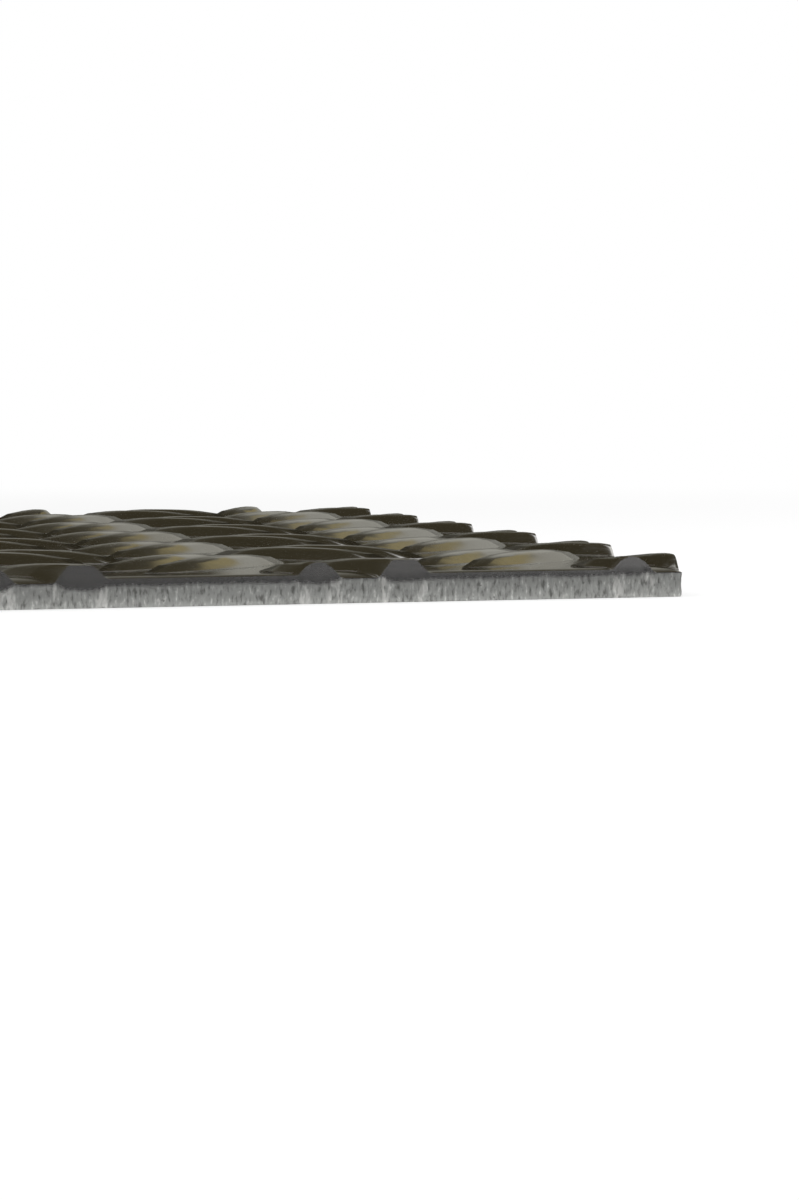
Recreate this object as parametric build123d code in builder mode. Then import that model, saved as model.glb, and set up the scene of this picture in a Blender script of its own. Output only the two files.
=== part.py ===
from build123d import *
import math
import os

# Driving dimensions, in millimetres

# The rolled plate, sheared to a rectangle
plate_length = 250.0
plate_width = 200.0
base_thickness = 3.5

# One raised tread bar: a lens in plan, with flanks that lean in towards a crest that arches from tip to tip
bar_length = 28.0
bar_width = 4.5
bar_height = 1.5
flank_run = 1.2
crest_drop = 0.8
root_depth = 1.0

# The pattern: pairs of bars on a square pitch, with pairs turned the other way half a pitch over
pattern_pitch = 37.5
bar_spacing = 7.3
bar_angle = 45.0

# From the front right corner of the plate to the middle of the pair that the shears met there
corner_pair_x = 0.5
corner_pair_y = -1.6

crest_level = base_thickness + bar_height
root_level = base_thickness - root_depth

# Each flank is part of a wide upright cone, and the crest is part of a wide drum that lies across the bar
flank_radius = (bar_length ** 2 + bar_width ** 2) / (4 * bar_width)
flank_centre = flank_radius - bar_width / 2
flank_lean = flank_run / bar_height
crest_radius = bar_length ** 2 / (8 * crest_drop) + crest_drop / 2


# One bar along X, carried down below the face of the plate so that it grows out of the metal
with BuildPart() as bar:
    for side, mode in ((-1, Mode.ADD), (1, Mode.INTERSECT)):
        with Locations((0, side * flank_centre, root_level)):
            Cone(
                bottom_radius=flank_radius + flank_lean * root_depth,
                top_radius=flank_radius - flank_run,
                height=root_depth + bar_height,
                align=(Align.CENTER, Align.CENTER, Align.MIN),
                mode=mode)
    with Locations((0, 0, crest_level - crest_radius)):
        Cylinder(crest_radius, 2 * bar_width, rotation=(90, 0, 0), mode=Mode.INTERSECT)


# Where the bars stand: every pair whose bars can reach the plate, counted from the corner pair
def pair_places(first_x, first_y, angle):
    along = math.radians(angle)
    side_x = -math.sin(along) * bar_spacing / 2
    side_y = math.cos(along) * bar_spacing / 2
    reach_x = plate_length / 2 + abs(math.cos(along)) * bar_length / 2
    reach_y = plate_width / 2 + abs(math.sin(along)) * bar_length / 2
    places = []
    for column in range(-1, math.ceil(plate_length / pattern_pitch) + 2):
        for row in range(-1, math.ceil(plate_width / pattern_pitch) + 2):
            for side in (-1, 1):
                x = first_x - column * pattern_pitch + side * side_x
                y = first_y + row * pattern_pitch + side * side_y
                if abs(x) < reach_x and abs(y) < reach_y:
                    places.append(Location((x, y, 0), (0, 0, angle)))
    return places


corner_x = plate_length / 2 + corner_pair_x
corner_y = -plate_width / 2 + corner_pair_y
half_pitch = pattern_pitch / 2
leaning_left = pair_places(corner_x, corner_y, 180 - bar_angle)
leaning_right = pair_places(corner_x - half_pitch, corner_y + half_pitch, bar_angle)


# The plate with all its bars, then sheared through bars and plate alike
with BuildPart() as tread_plate:
    with BuildSketch():
        Rectangle(plate_length, plate_width)
    extrude(amount=base_thickness)
    with Locations(*leaning_left, *leaning_right):
        add(bar.part)
    with BuildSketch():
        Rectangle(plate_length, plate_width)
    extrude(amount=crest_level, mode=Mode.INTERSECT)

tread_plate.part.label = "tread_plate"
os.makedirs("parts", exist_ok=True)
export_step(tread_plate.part, "parts/tread_plate.step")
print("tread bars:", len(leaning_left) + len(leaning_right))
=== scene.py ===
import math
import bmesh
import bpy
from mathutils import Matrix, Vector, noise


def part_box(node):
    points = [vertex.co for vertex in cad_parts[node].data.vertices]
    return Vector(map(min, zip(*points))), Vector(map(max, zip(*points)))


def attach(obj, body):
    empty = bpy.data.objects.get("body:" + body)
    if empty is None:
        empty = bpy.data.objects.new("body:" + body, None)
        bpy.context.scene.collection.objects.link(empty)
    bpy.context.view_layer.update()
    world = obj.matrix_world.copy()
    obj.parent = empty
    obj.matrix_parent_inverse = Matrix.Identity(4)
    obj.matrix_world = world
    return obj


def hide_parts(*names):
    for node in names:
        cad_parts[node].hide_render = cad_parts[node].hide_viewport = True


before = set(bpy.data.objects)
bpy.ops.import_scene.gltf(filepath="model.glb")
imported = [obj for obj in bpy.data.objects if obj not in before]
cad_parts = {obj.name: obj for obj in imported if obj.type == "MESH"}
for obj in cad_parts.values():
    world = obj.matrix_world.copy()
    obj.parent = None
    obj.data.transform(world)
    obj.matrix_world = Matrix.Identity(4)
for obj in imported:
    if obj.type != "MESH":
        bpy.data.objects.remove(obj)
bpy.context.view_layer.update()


# The tread bar: a lens-shaped rib that the engraved roll raises out of the hot plate, of the same metal.
# Its foot sweeps out of the face in a small hollow, its flanks lean in, and its crest arches from tip to tip.
MM = 0.001
plate_low, plate_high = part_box("tread_plate")
bar_length = 28.0 * MM
bar_width = 4.5 * MM
bar_height = 1.5 * MM
flank_run = 1.2 * MM
arch_fullness = 0.95
arc_steps = 6
tip_merge = 0.01 * MM
face_level = plate_high.z - bar_height

# Each step of the profile is a way in from the foot line and a rise, as shares of the run and of the height
bar_profile = (
    (-0.3, 0), (-0.08, 0), (0.12, 0.11), (0.62, 0.62), (0.9, 0.9), (0.99, 0.975), (1.1, 1), (1.24, 1))


def bar_ring(inward, rise):
    arch = bar_length / 2 * math.sqrt(1 - (arch_fullness * rise) ** 2)
    return arch - flank_run * (inward - rise), bar_width / 2 - flank_run * inward


def grow_rim(shape, rim):
    grown = bmesh.ops.extrude_edge_only(shape, edges=rim)["geom"]
    ring = [part for part in grown if isinstance(part, bmesh.types.BMVert)]
    faces = [part for part in grown if isinstance(part, bmesh.types.BMFace)]
    edges = [part for part in grown if isinstance(part, bmesh.types.BMEdge)]
    on_ring = set(ring)
    return ring, [edge for edge in edges if on_ring.issuperset(edge.verts)], faces


bar = bmesh.new()
half_length, half_width = bar_ring(*bar_profile[0])
arc_radius = (half_length ** 2 + half_width ** 2) / (2 * half_width)
arc_turn = 2 * math.asin(half_length / arc_radius)
first_tip = bar.verts.new((-half_length, 0, face_level))
bmesh.ops.spin(
    bar, geom=[first_tip], cent=(0, half_width - arc_radius, 0), axis=(0, 0, 1),
    angle=-arc_turn, steps=arc_steps, use_merge=False, use_duplicate=False)
bmesh.ops.mirror(
    bar, geom=bar.verts[:] + bar.edges[:], matrix=Matrix.Identity(4), merge_dist=tip_merge, axis="Y")
rim = bar.edges[:]
for (inward, rise), (next_inward, next_rise) in zip(bar_profile, bar_profile[1:]):
    ring, rim, _ = grow_rim(bar, rim)
    shrink = [new / old for new, old in zip(bar_ring(next_inward, next_rise), bar_ring(inward, rise))]
    bmesh.ops.scale(bar, vec=(*shrink, 1), verts=ring)
    bmesh.ops.translate(bar, vec=(0, 0, (next_rise - rise) * bar_height), verts=ring)
bmesh.ops.contextual_create(bar, geom=rim)
bar_mesh = bpy.data.meshes.new("tread_bar")
bar.to_mesh(bar_mesh)
bar.free()


# The rolled sheet: pairs of bars on a square pitch, with pairs turned the other way half a pitch over, and
# the flat face between them. The mill rolls it larger than the plate, and it is sheared to size next.
pattern_pitch = 37.5 * MM
bar_spacing = 7.3 * MM
bar_angle = math.radians(45)
corner_pair = Vector((0.5 * MM, -1.6 * MM))
sheet_margin = 120 * MM

plate_size = plate_high - plate_low
front_right = Vector((plate_high.x, plate_low.y))
half_pitch = Vector((-pattern_pitch, pattern_pitch)) / 2
first_pairs = (
    (front_right + corner_pair, math.pi - bar_angle),
    (front_right + corner_pair + half_pitch, bar_angle))
sheet = bmesh.new()


def roll_pairs(first, angle):
    side = Vector((-math.sin(angle), math.cos(angle))) * bar_spacing / 2
    for column in range(-1, math.ceil(plate_size.x / pattern_pitch) + 2):
        for row in range(-1, math.ceil(plate_size.y / pattern_pitch) + 2):
            middle = first + Vector((-column, row)) * pattern_pitch
            for at in (middle - side, middle + side):
                placed = bar_mesh.copy()
                placed.transform(Matrix.Translation((at.x, at.y, 0)) @ Matrix.Rotation(angle, 4, "Z"))
                sheet.from_mesh(placed)
                bpy.data.meshes.remove(placed)


for first, angle in first_pairs:
    roll_pairs(first, angle)
bpy.data.meshes.remove(bar_mesh)
sheet_half = plate_size / 2 + Vector((sheet_margin, sheet_margin, 0))
bmesh.ops.create_circle(
    sheet, cap_ends=False, radius=math.sqrt(2), segments=4,
    matrix=Matrix.Translation((0, 0, face_level))
    @ Matrix.Diagonal((sheet_half.x, sheet_half.y, 1, 1))
    @ Matrix.Rotation(math.radians(45), 4, "Z"))
foot_edges = [edge for edge in sheet.edges if len(edge.link_faces) < 2]
bmesh.ops.triangle_fill(sheet, use_beauty=True, use_dissolve=False, edges=foot_edges, normal=(0, 0, 1))


# The shearing: the blade cuts the sheet on four sides and drags the top edge down into a soft roll, deepest
# between the two bars of a pair. It slides through a thin burnished band, and the rest breaks away below it
# in a rough, slightly set-back fracture.
hair = 0.001 * MM
roll_run = 0.9 * MM
roll_drop_face = 0.2 * MM
roll_drop_crest = 0.12 * MM
pair_run = 3.0 * MM
pair_drop = 0.62 * MM
roll_lines = (0.25, 0.5, 0.75, 1.0, 1.3, 1.8, 2.5, 3.4)
sides = (
    (plate_high, Vector((1, 0, 0))), (plate_high, Vector((0, 1, 0))),
    (plate_low, Vector((-1, 0, 0))), (plate_low, Vector((0, -1, 0))))


def cut(place, normal, clear):
    everything = sheet.verts[:] + sheet.edges[:] + sheet.faces[:]
    bmesh.ops.bisect_plane(
        sheet, geom=everything, dist=hair, plane_co=place, plane_no=normal, clear_outer=clear)


for place, normal in sides:
    cut(place, normal, True)
for place, normal in sides:
    for line in roll_lines:
        cut(place - normal * line * roll_run, normal, False)


def edge_distance(point):
    return min((place - point).dot(normal) for place, normal in sides)


def smooth_step(value):
    value = min(max(value, 0), 1)
    return value * value * (3 - 2 * value)


# The room between the bars of a pair fades out up the flanks to the crests, and past the tips
flank_fade = 0.5
tip_reach, tip_fade = 1.1, 0.4


def between_bars(point):
    share = 0
    for first, angle in first_pairs:
        away = point.xy - first
        away -= Vector((round(away.x / pattern_pitch), round(away.y / pattern_pitch))) * pattern_pitch
        along = abs(away.dot(Vector((math.cos(angle), math.sin(angle))))) / (bar_length / 2)
        across = abs(away.dot(Vector((-math.sin(angle), math.cos(angle))))) / (bar_spacing / 2)
        room = smooth_step((1 - across) / flank_fade) * smooth_step((tip_reach - along) / tip_fade)
        share = max(share, room)
    return share


over_face = sheet.verts.layers.float.new("over_face")
drawn_edge = sheet.verts.layers.float.new("drawn_edge")
fracture = sheet.verts.layers.float.new("fracture")
top_level = sheet.verts.layers.float.new("top_level")
for vert in sheet.verts:
    vert[over_face] = (vert.co.z - face_level) / bar_height
    inward = max(edge_distance(vert.co), 0)
    rolled = max(1 - inward / roll_run, 0)
    dragged = max(1 - inward / pair_run, 0)
    pair_share = between_bars(vert.co)
    vert[drawn_edge] = max(rolled, pair_share * dragged)
    face_drop = (1 - pair_share) * roll_drop_face * rolled ** 2 + pair_share * pair_drop * dragged ** 2
    vert.co.z -= face_drop + (roll_drop_crest * rolled ** 2 - face_drop) * vert[over_face]
    vert[top_level] = vert.co.z

# The cut edge is divided into columns and drawn down in rows, close enough to carry the tears
column_width = 0.3 * MM
side_rows = (0.05, 0.12, 0.19, 0.26, 0.33, 0.4, 0.48, 0.56, 0.64, 0.72, 0.8, 0.88, 0.96, 1.0)

columned = {}
for edge in sheet.edges:
    if edge.is_boundary:
        columned.setdefault(int(edge.calc_length() / column_width), []).append(edge)
columned.pop(0, None)
for columns, edges in columned.items():
    bmesh.ops.subdivide_edges(sheet, edges=edges, cuts=columns)
cut_edges = [edge for edge in sheet.edges if edge.is_boundary]
rim = cut_edges
sheared = []
above = 0.0
for share in side_rows:
    ring, rim, faces = grow_rim(sheet, rim)
    bmesh.ops.scale(sheet, vec=(1, 1, (1 - share) / (1 - above)), verts=ring)
    for face in faces:
        face.material_index = 1
    sheared.extend(ring)
    above = share

# The band is deeper under a bar and lost between the bars of a pair, it swings slowly along the side, and
# its lower line wanders. Each grain of the relief has its share, its width and its length.
burnish_depth = 0.1 * MM
burnish_under_bar = 0.25 * MM
burnish_lost_in_pair = 0.35 * MM
burnish_swing = 0.25 * MM
swing_length = 160 * MM
swing_off_bar = 0.4
burnish_wander = 0.2 * MM
wander_length, waver_length = 5 * MM, 0.8 * MM
waver_share = 0.6
fracture_fade = 1.7 * MM
fracture_set_back = 0.01 * MM
fracture_relief = 0.12 * MM
relief_middle = 0.5
relief_grains = ((0.4, 0.9 * MM, 2.2 * MM), (0.35, 2.6 * MM, 1.6 * MM), (0.35, 0.5 * MM, 0.9 * MM))
relief_start = 0.9 * MM
foot_height = 0.2 * MM
foot_set_back = 0.08 * MM


def grain(along, height, seed, width, length):
    return noise.noise(Vector((along / width, height / length, seed)))


def broken_away(along, height, bar_share, pair_share, seed):
    wander = grain(along, 0, seed, wander_length, 1)
    wander += waver_share * grain(along, 0, seed + 1, waver_length, 1)
    swing = math.cos(2 * math.pi * (along + plate_size.x / 2) / swing_length)
    depth = burnish_depth + burnish_under_bar * bar_share
    depth -= burnish_lost_in_pair * pair_share * (1 - bar_share)
    depth += burnish_wander * wander - burnish_swing * swing * (swing_off_bar + bar_share)
    return smooth_step((face_level - depth - height) / fracture_fade)


def broken_relief(along, height, seed):
    rise = relief_middle
    for number, (share, width, length) in enumerate(relief_grains):
        rise += share * grain(along, height, seed + 2 + number, width, length)
    return fracture_set_back + fracture_relief * max(rise, 0)


for number, (place, normal) in enumerate(sides):
    seed = 10 * number
    for vert in sheared:
        if abs((place - vert.co).dot(normal)) < 10 * hair:
            along = vert.co.dot(normal.yxz)
            height = vert.co.z
            vert[fracture] = broken_away(along, height, vert[over_face], between_bars(vert.co), seed)
            relief = vert[fracture] * broken_relief(along, height, seed)
            relief *= smooth_step((vert[top_level] - height) / relief_start)
            vert.co -= normal * (relief + foot_set_back * smooth_step(1 - height / foot_height))
bmesh.ops.edgeloop_fill(sheet, edges=rim, mat_nr=2)

bmesh.ops.recalc_face_normals(sheet, faces=sheet.faces[:])
for face in sheet.faces:
    face.smooth = True
for edge in cut_edges + rim:
    edge.smooth = False
plate_mesh = bpy.data.meshes.new("rolled_plate")
sheet.to_mesh(plate_mesh)
sheet.free()
plate = bpy.data.objects.new("rolled_plate", plate_mesh)
bpy.context.scene.collection.objects.link(plate)
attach(plate, "root")
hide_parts("tread_plate")


# The bright rolled face: bare aluminium from polished rolls, satin from above and glossy at a slant. Faint
# lines run the way it was rolled, handling left smudges and hair scratches, and the bars and the rolled edge
# are smoother, with the edges of the crests lighter in colour: partly rubbed wear, partly a painted
# highlight.
bright_metal = (0.66, 0.655, 0.64)
smudged_metal = (0.56, 0.545, 0.515)
# The rubbed tone is partly wear and partly a painted highlight on the crest edges
rubbed_and_highlit_metal = (0.80, 0.795, 0.78)
satin, glancing, bar_polish = 0.5, 0.07, 0.11
smudge_rough, line_rough, scratch_rough = 0.04, 0.04, 0.12
line_share, rub_and_highlight_share = 0.35, 0.8
line_relief, scratch_relief = 0.25, 0.5
face_ripple_depth = 0.0012 * MM
scratch_size = (24 * MM, 0.22 * MM, 0.22 * MM)

# Each range is where a mark or a finish starts to show and where it is full
smudge_range = (0.42, 0.68)
scratch_range = (0.66, 0.76)
line_range = (0.4, 0.7)
rub_highlight_starts, rub_highlight_ends = (0.7, 0.9), (0.96, 1.0)
slant_range = (0.5, 0.93)
bar_foot_range = (0.01, 0.12)
rolled_edge_range = (0.0, 0.4)


def feed(tree, socket, value):
    if isinstance(value, bpy.types.NodeSocket):
        tree.links.new(value, socket)
    elif socket.type == "RGBA":
        socket.default_value = (*value, 1)
    else:
        socket.default_value = value


def add_node(tree, kind, settings=None, **inputs):
    new = tree.nodes.new(kind)
    for name, value in (settings or {}).items():
        setattr(new, name, value)
    for name, value in inputs.items():
        feed(tree, new.inputs[name.replace("_", " ")], value)
    return new


def math_node(tree, operation, first, second):
    new = add_node(tree, "ShaderNodeMath", {"operation": operation})
    feed(tree, new.inputs[0], first)
    feed(tree, new.inputs[1], second)
    return new.outputs[0]


def vector_node(tree, operation, *values):
    new = add_node(tree, "ShaderNodeVectorMath", {"operation": operation})
    for socket, value in zip(new.inputs, values):
        feed(tree, socket, value)
    return new.outputs


def mixed_colour(tree, share, first, second):
    mix = add_node(tree, "ShaderNodeMix", {"data_type": "RGBA"})
    for number, value in ((0, share), (6, first), (7, second)):
        feed(tree, mix.inputs[number], value)
    return mix.outputs[2]


def mixed_value(tree, share, first, second):
    mix = add_node(tree, "ShaderNodeMix", {"data_type": "FLOAT"})
    for number, value in ((0, share), (2, first), (3, second)):
        feed(tree, mix.inputs[number], value)
    return mix.outputs[0]


def ramp(tree, value, low, high, to_low=0.0, to_high=1.0):
    return add_node(
        tree, "ShaderNodeMapRange", {"interpolation_type": "SMOOTHSTEP"}, Value=value,
        From_Min=low, From_Max=high, To_Min=to_low, To_Max=to_high).outputs["Result"]


def object_place(tree):
    return add_node(tree, "ShaderNodeTexCoord").outputs["Object"]


def stretched_noise(tree, size, detail):
    lengths = add_node(tree, "ShaderNodeCombineXYZ", X=size[0], Y=size[1], Z=size[2]).outputs[0]
    place = vector_node(tree, "DIVIDE", object_place(tree), lengths)["Vector"]
    return add_node(tree, "ShaderNodeTexNoise", Vector=place, Scale=1, Detail=detail).outputs["Fac"]


mill_marks = bpy.data.node_groups.new("mill_marks", "ShaderNodeTree")
for label in ("Line Length", "Line Width", "Smudge Size", "Ripple Size"):
    mill_marks.interface.new_socket(label, in_out="INPUT", socket_type="NodeSocketFloat")
for label in ("Lines", "Smudge", "Ripple", "Scratches"):
    mill_marks.interface.new_socket(label, in_out="OUTPUT", socket_type="NodeSocketFloat")
given = add_node(mill_marks, "NodeGroupInput").outputs
lines = stretched_noise(mill_marks, (given["Line Length"], given["Line Width"], given["Line Width"]), 3)
smudge = stretched_noise(mill_marks, [given["Smudge Size"]] * 3, 4)
ripple = stretched_noise(mill_marks, [given["Ripple Size"]] * 3, 1)
scratch = stretched_noise(mill_marks, scratch_size, 1)
add_node(
    mill_marks, "NodeGroupOutput", Lines=lines, Smudge=ramp(mill_marks, smudge, *smudge_range),
    Ripple=ripple, Scratches=ramp(mill_marks, scratch, *scratch_range))


def add_marks(tree, **sizes):
    return add_node(tree, "ShaderNodeGroup", {"node_tree": mill_marks}, **sizes).outputs


def new_metal(name):
    material = bpy.data.materials.new(name)
    material.use_nodes = True
    shader = material.node_tree.nodes["Principled BSDF"]
    shader.inputs["Metallic"].default_value = 1
    plate_mesh.materials.append(material)
    return material.node_tree, shader.inputs


def plate_value(tree, name):
    return add_node(tree, "ShaderNodeAttribute", {"attribute_name": name}).outputs["Fac"]


def add_relief(tree, shader, height, depth):
    bump = add_node(tree, "ShaderNodeBump", Height=height, Distance=depth, Strength=1)
    feed(tree, shader["Normal"], bump.outputs["Normal"])


tree, shader = new_metal("bright_rolled_face")
marks = add_marks(
    tree, Line_Length=60 * MM, Line_Width=0.35 * MM, Smudge_Size=22 * MM, Ripple_Size=2.5 * MM)
height_over = plate_value(tree, "over_face")
drawn_over = plate_value(tree, "drawn_edge")

lined = math_node(tree, "MULTIPLY", ramp(tree, marks["Lines"], *line_range), line_share)
handled = math_node(tree, "MAXIMUM", marks["Smudge"], lined)
face_colour = mixed_colour(tree, handled, bright_metal, smudged_metal)
# Crest edges lighter in colour: partly rubbed wear, partly a painted highlight along the rounded crest edge
crest_edge = math_node(
    tree, "SUBTRACT", ramp(tree, height_over, *rub_highlight_starts), ramp(tree, height_over, *rub_highlight_ends))
rubbed_and_highlight = math_node(tree, "MULTIPLY", crest_edge, rub_and_highlight_share)
feed(tree, shader["Base Color"], mixed_colour(tree, rubbed_and_highlight, face_colour, rubbed_and_highlit_metal))

aslant = add_node(tree, "ShaderNodeLayerWeight", Blend=0.5).outputs["Facing"]
gloss = mixed_value(tree, ramp(tree, aslant, *slant_range), satin, glancing)
polished = math_node(
    tree, "MAXIMUM", ramp(tree, height_over, *bar_foot_range), ramp(tree, drawn_over, *rolled_edge_range))
gloss = mixed_value(tree, polished, gloss, bar_polish)
for mark, rough in (("Smudge", smudge_rough), ("Lines", line_rough), ("Scratches", scratch_rough)):
    gloss = math_node(tree, "ADD", gloss, math_node(tree, "MULTIPLY", marks[mark], rough))
feed(tree, shader["Roughness"], gloss)

worked = math_node(tree, "ADD", marks["Ripple"], math_node(tree, "MULTIPLY", marks["Lines"], line_relief))
scored = math_node(tree, "MULTIPLY", marks["Scratches"], scratch_relief)
add_relief(tree, shader, math_node(tree, "SUBTRACT", worked, scored), face_ripple_depth)


# The sheared sides: a smooth band that the blade wiped, under the rolled edge and deeper under the bars.
# Below it is torn aluminium in short upright tears, with a painted highlight on their tips and painted shade
# in their pits and low tears, with coarser bright tears where the flanks of a bar were wrenched apart.
burnished_metal = (0.62, 0.61, 0.605)
wiped_metal = (0.5, 0.49, 0.485)
# The dark torn tone is painted shade for the pits and low tears, the bright torn tone a painted highlight for
# the tear tips
torn_painted_shade = (0.18, 0.18, 0.17)
torn_metal = (0.41, 0.415, 0.4)
torn_painted_highlight = (0.7, 0.705, 0.68)
wrenched_metal = (0.76, 0.755, 0.73)
burnished_rough, torn_rough = 0.24, 0.5
tear_depth = 0.06 * MM
tear_size = (0.42 * MM, 0.42 * MM, 1.2 * MM)
pit_size = (0.9 * MM, 0.9 * MM, 1.1 * MM)
wipe_size = (0.18 * MM, 0.18 * MM, 9 * MM)
wrench_size = (0.8 * MM, 0.8 * MM, 2.2 * MM)
raggedness = 0.5
torn_range = (0.25, 1.15)
painted_shade_tear_range, painted_highlight_tear_range = (0.28, 0.52), (0.54, 0.74)
pit_painted_shade_range = (0.36, 0.24)
flank_starts, flank_ends = (0.0, 0.08), (0.6, 0.95)
wrench_range = (0.42, 0.58)
wrench_share, wrench_relief = 0.6, 0.8

tree, shader = new_metal("sheared_side")
tears = stretched_noise(tree, tear_size, 5)
pits = stretched_noise(tree, pit_size, 3)
wipe = stretched_noise(tree, wipe_size, 2)
wrench = stretched_noise(tree, wrench_size, 2)
broken = plate_value(tree, "fracture")
bar_over = plate_value(tree, "over_face")

ragged = math_node(tree, "ADD", broken, math_node(tree, "MULTIPLY", tears, raggedness))
torn = ramp(tree, ragged, *torn_range)
under_flank = math_node(
    tree, "SUBTRACT", ramp(tree, bar_over, *flank_starts), ramp(tree, bar_over, *flank_ends))
wrenched = math_node(tree, "MULTIPLY", under_flank, ramp(tree, wrench, *wrench_range))
wrench_tint = math_node(tree, "MULTIPLY", wrenched, wrench_share)
# Painted shade in the low tears and pits and a painted highlight on the high tear tips, following the bump
# relief, over the torn metal's own grey
tear_colour_and_painted_light = mixed_colour(tree, ramp(tree, tears, *painted_shade_tear_range), torn_painted_shade, torn_metal)
tear_colour_and_painted_light = mixed_colour(tree, ramp(tree, tears, *painted_highlight_tear_range), tear_colour_and_painted_light, torn_painted_highlight)
tear_colour_and_painted_light = mixed_colour(tree, ramp(tree, pits, *pit_painted_shade_range), tear_colour_and_painted_light, torn_painted_shade)
tear_colour_and_painted_light = mixed_colour(tree, wrench_tint, tear_colour_and_painted_light, wrenched_metal)
wiped_colour = mixed_colour(tree, wipe, burnished_metal, wiped_metal)
feed(tree, shader["Base Color"], mixed_colour(tree, torn, wiped_colour, tear_colour_and_painted_light))

opened = math_node(tree, "MULTIPLY", torn, torn)
feed(tree, shader["Roughness"], mixed_value(tree, opened, burnished_rough, torn_rough))
torn_height = math_node(tree, "SUBTRACT", math_node(tree, "ADD", tears, pits), 1)
wrench_height = math_node(tree, "MULTIPLY", wrenched, wrench_relief)
torn_height = math_node(tree, "ADD", torn_height, wrench_height)
add_relief(tree, shader, math_node(tree, "MULTIPLY", torn_height, opened), tear_depth)


# The mill underside: the plain face that ran on the smooth lower roll, duller than the top, with longer lines
# and broad grey scuffs from lying on other plates.
dull_metal = (0.66, 0.66, 0.65)
scuffed_metal = (0.52, 0.52, 0.51)
under_line_share, under_smudge_share = 0.45, 0.8
under_line_dulling = 0.25
dulled_range = (0, 1.2)
under_rough = (0.25, 0.5)
under_line_depth = 0.002 * MM

tree, shader = new_metal("mill_underside")
marks = add_marks(tree, Line_Length=90 * MM, Line_Width=0.5 * MM, Smudge_Size=35 * MM, Ripple_Size=4 * MM)
lined = math_node(tree, "MULTIPLY", ramp(tree, marks["Lines"], *line_range), under_line_share)
smudged = math_node(tree, "MULTIPLY", marks["Smudge"], under_smudge_share)
scuffed = math_node(tree, "MAXIMUM", smudged, lined)
feed(tree, shader["Base Color"], mixed_colour(tree, scuffed, dull_metal, scuffed_metal))
dulled = math_node(tree, "MULTIPLY", marks["Lines"], under_line_dulling)
dulled = math_node(tree, "ADD", dulled, marks["Scratches"])
feed(tree, shader["Roughness"], ramp(tree, dulled, *dulled_range, *under_rough))
add_relief(tree, shader, marks["Lines"], under_line_depth)


# The camera: low in front of the middle of the plate, turned a little to the right and slightly down, as the
# picture was taken. Its place is measured from the plate's front right corner, and its turns are in radians.
image_height = 1200
focal_pixels = 3190
camera_from_corner = Vector((-112.5 * MM, -359.7 * MM, 19.2 * MM))
look_right, look_down, tilt = 0.2146, 0.0609, -0.0067

forward = Vector((math.sin(look_right), math.cos(look_right), -math.tan(look_down))).normalized()
level = Vector((math.cos(look_right), -math.sin(look_right), 0))
upright = level.cross(forward)
camera_axes = Matrix((
    level * math.cos(tilt) + upright * math.sin(tilt),
    upright * math.cos(tilt) - level * math.sin(tilt),
    -forward)).transposed()
camera_data = bpy.data.cameras.new("camera")
camera_data.sensor_width = 36
camera_data.lens = focal_pixels * camera_data.sensor_width / image_height
camera_data.clip_start = 0.01
camera_data.clip_end = 100
camera = bpy.data.objects.new("camera", camera_data)
camera_place = Vector((*front_right, face_level)) + camera_from_corner
camera.matrix_world = Matrix.Translation(camera_place) @ camera_axes.to_4x4()
bpy.context.scene.collection.objects.link(camera)
bpy.context.scene.camera = camera


# The studio: a white room with a pale floor, one large soft lamp and a weaker world. Metal sees the white
# room too, between soft dark cards and past a dark mat, out of view, that give it low, warm tones.
white = (1, 1, 1)
world_light = 0.65
lamp_power = 19
lamp_size = 1.2
lamp_place = Vector((0.7, -1.0, 1.2))
floor_half = 4
floor_gap = 0.02 * MM
floor_white = (0.95, 0.95, 0.95)
shadow_reach = (0.16, 0.5)

bpy.context.scene.view_settings.view_transform = "Standard"


def seen_share(tree, others):
    path = add_node(tree, "ShaderNodeLightPath").outputs
    share = math_node(tree, "MAXIMUM", path["Is Camera Ray"], path["Is Glossy Ray"])
    share = math_node(tree, "MAXIMUM", share, path["Is Transmission Ray"])
    return ramp(tree, share, 0, 1, others, 1)


world = bpy.data.worlds.new("white_room")
bpy.context.scene.world = world
world.use_nodes = True
tree = world.node_tree
background = tree.nodes["Background"].inputs
feed(tree, background["Color"], white)
feed(tree, background["Strength"], seen_share(tree, world_light))

lamp_data = bpy.data.lights.new("soft_lamp", "AREA")
lamp_data.energy = lamp_power
lamp_data.size = lamp_size
lamp = bpy.data.objects.new("soft_lamp", lamp_data)
lamp_turn = lamp_place.to_track_quat("Z", "Y").to_matrix().to_4x4()
lamp.matrix_world = Matrix.Translation(lamp_place) @ lamp_turn
lamp.visible_glossy = False
bpy.context.scene.collection.objects.link(lamp)


def stage_piece(name, shape):
    mesh = bpy.data.meshes.new(name)
    shape.to_mesh(mesh)
    shape.free()
    piece = bpy.data.objects.new(name, mesh)
    bpy.context.scene.collection.objects.link(piece)
    material = bpy.data.materials.new(name)
    material.use_nodes = True
    mesh.materials.append(material)
    return piece


def show(tree, shading):
    feed(tree, tree.nodes["Material Output"].inputs["Surface"], shading.outputs[0])


def show_between(tree, share, first, second):
    blend = add_node(tree, "ShaderNodeMixShader", Fac=share)
    tree.links.new(first.outputs[0], blend.inputs[1])
    tree.links.new(second.outputs[0], blend.inputs[2])
    show(tree, blend)


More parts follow.
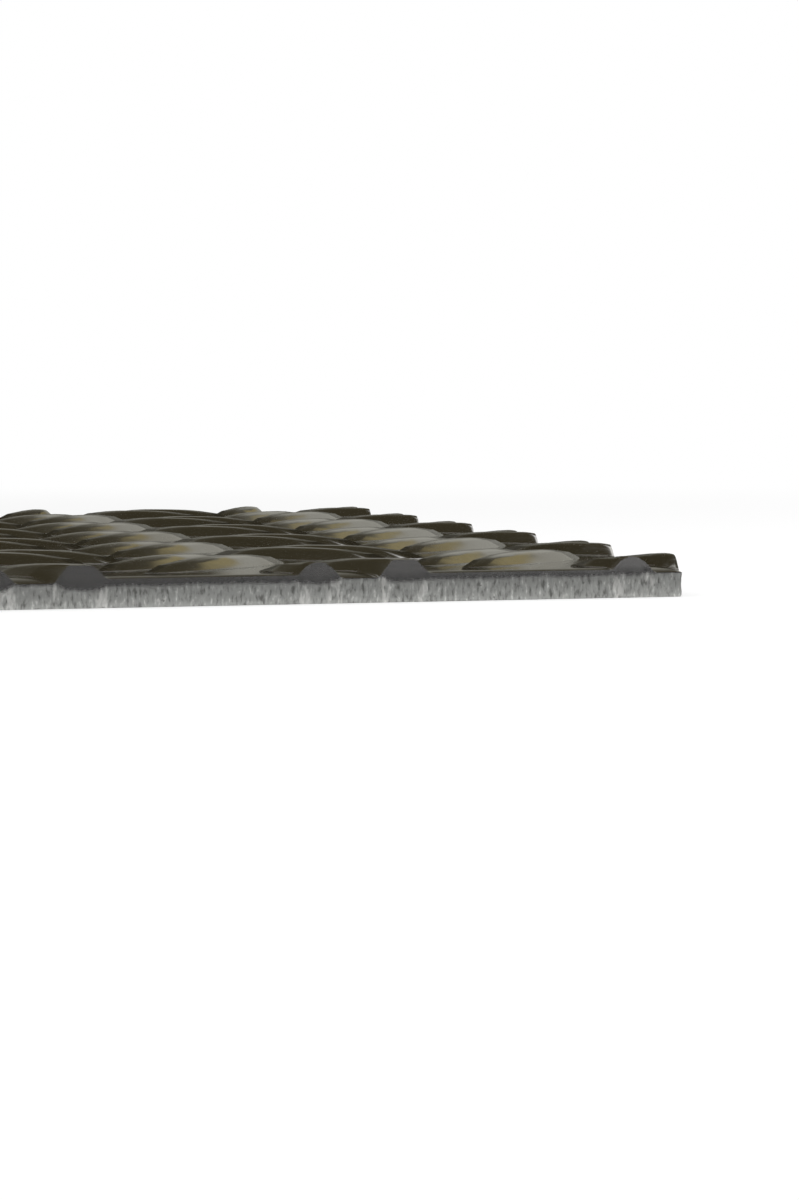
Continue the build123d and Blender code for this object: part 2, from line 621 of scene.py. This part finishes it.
shape = bmesh.new()
bmesh.ops.create_grid(
    shape, x_segments=1, y_segments=1, size=floor_half, matrix=Matrix.Translation((0, 0, -floor_gap)))
tree = stage_piece("floor", shape).active_material.node_tree
matte = tree.nodes["Principled BSDF"]
feed(tree, matte.inputs["Base Color"], floor_white)
feed(tree, matte.inputs["Roughness"], 1)
feed(tree, matte.inputs["Specular IOR Level"], 0)
from_middle = vector_node(tree, "LENGTH", object_place(tree))["Value"]
far = ramp(tree, from_middle, *shadow_reach)
shown = math_node(tree, "MULTIPLY", far, seen_share(tree, 0))
bright = add_node(tree, "ShaderNodeEmission", Color=white, Strength=1)
show_between(tree, shown, matte, bright)


# The soft cards: a shell round the plate, out of view, with a dark cloth that pales towards its foot, and
# patches, each at an azimuth from the back towards the right and an elevation, with the half-widths of its
# middle and of its faded rim, in degrees. Between them the shell is clear, and metal sees the white room.
shell_radius = 1.5
cloth_low_tone = (0.21, 0.205, 0.18)
cloth_high_tone = (0.05, 0.043, 0.026)
cloth_fade = (math.sin(math.radians(14)), math.sin(math.radians(54)))
cloth_head = (math.sin(math.radians(76)), math.sin(math.radians(62)))
cloth_ends = (-0.5, -0.2)
pale_tone = (0.36, 0.355, 0.32)
cream_tone = (0.30, 0.255, 0.137)
front_tone = (0.09, 0.088, 0.082)
patches = (
    (42, 22, 13, 21, pale_tone),
    (62, 36, 3, 9, cream_tone),
    (-45, 66, 14, 21, cloth_high_tone),
    (178, 4, 8, 28, front_tone),
    (167, 26, 9, 16, front_tone))


def card_piece(name, shape):
    piece = stage_piece(name, shape)
    piece.visible_camera = False
    piece.visible_diffuse = False
    piece.visible_shadow = False
    piece.visible_transmission = False
    return piece.active_material.node_tree


shape = bmesh.new()
bmesh.ops.create_uvsphere(shape, u_segments=64, v_segments=32, radius=shell_radius)
bmesh.ops.bisect_plane(
    shape, geom=shape.verts[:] + shape.edges[:] + shape.faces[:], plane_co=(0, 0, 0), plane_no=(0, 0, -1),
    clear_outer=True)
tree = card_piece("soft_cards", shape)
way = vector_node(tree, "NORMALIZE", object_place(tree))["Vector"]
parts = add_node(tree, "ShaderNodeSeparateXYZ", Vector=way).outputs
cover = math_node(tree, "MULTIPLY", ramp(tree, parts["Z"], *cloth_head), ramp(tree, parts["Y"], *cloth_ends))
colour = mixed_colour(tree, ramp(tree, parts["Z"], *cloth_fade), cloth_low_tone, cloth_high_tone)
for *angles, patch_tone in patches:
    azimuth, elevation, middle, faded = (math.radians(angle) for angle in angles)
    flat = math.cos(elevation)
    towards = (math.sin(azimuth) * flat, math.cos(azimuth) * flat, math.sin(elevation))
    near = vector_node(tree, "DOT_PRODUCT", way, towards)["Value"]
    share = ramp(tree, near, math.cos(faded), math.cos(middle))
    colour = mixed_colour(tree, share, colour, patch_tone)
    cover = math_node(tree, "MAXIMUM", cover, share)
clear = add_node(tree, "ShaderNodeBsdfTransparent")
tone = add_node(tree, "ShaderNodeEmission", Color=colour, Strength=1)
show_between(tree, cover, clear, tone)


# The dark mat: a flat strip on the floor in front of the plate, seen only by the metal, which keeps the white
# floor out of the burnished band and the cut ends of the bars.
mat_grey = (0.05, 0.05, 0.05)
mat_near, mat_far = 5 * MM, 400 * MM
mat_half_width = 400 * MM
mat_height = 0.1 * MM

mat_middle = Vector((0, plate_low.y - (mat_near + mat_far) / 2, mat_height))
mat_size = Matrix.Diagonal((mat_half_width, (mat_far - mat_near) / 2, 1, 1))
shape = bmesh.new()
bmesh.ops.create_grid(
    shape, x_segments=1, y_segments=1, size=1, matrix=Matrix.Translation(mat_middle) @ mat_size)
tree = card_piece("dark_mat", shape)
show(tree, add_node(tree, "ShaderNodeEmission", Color=mat_grey, Strength=1))
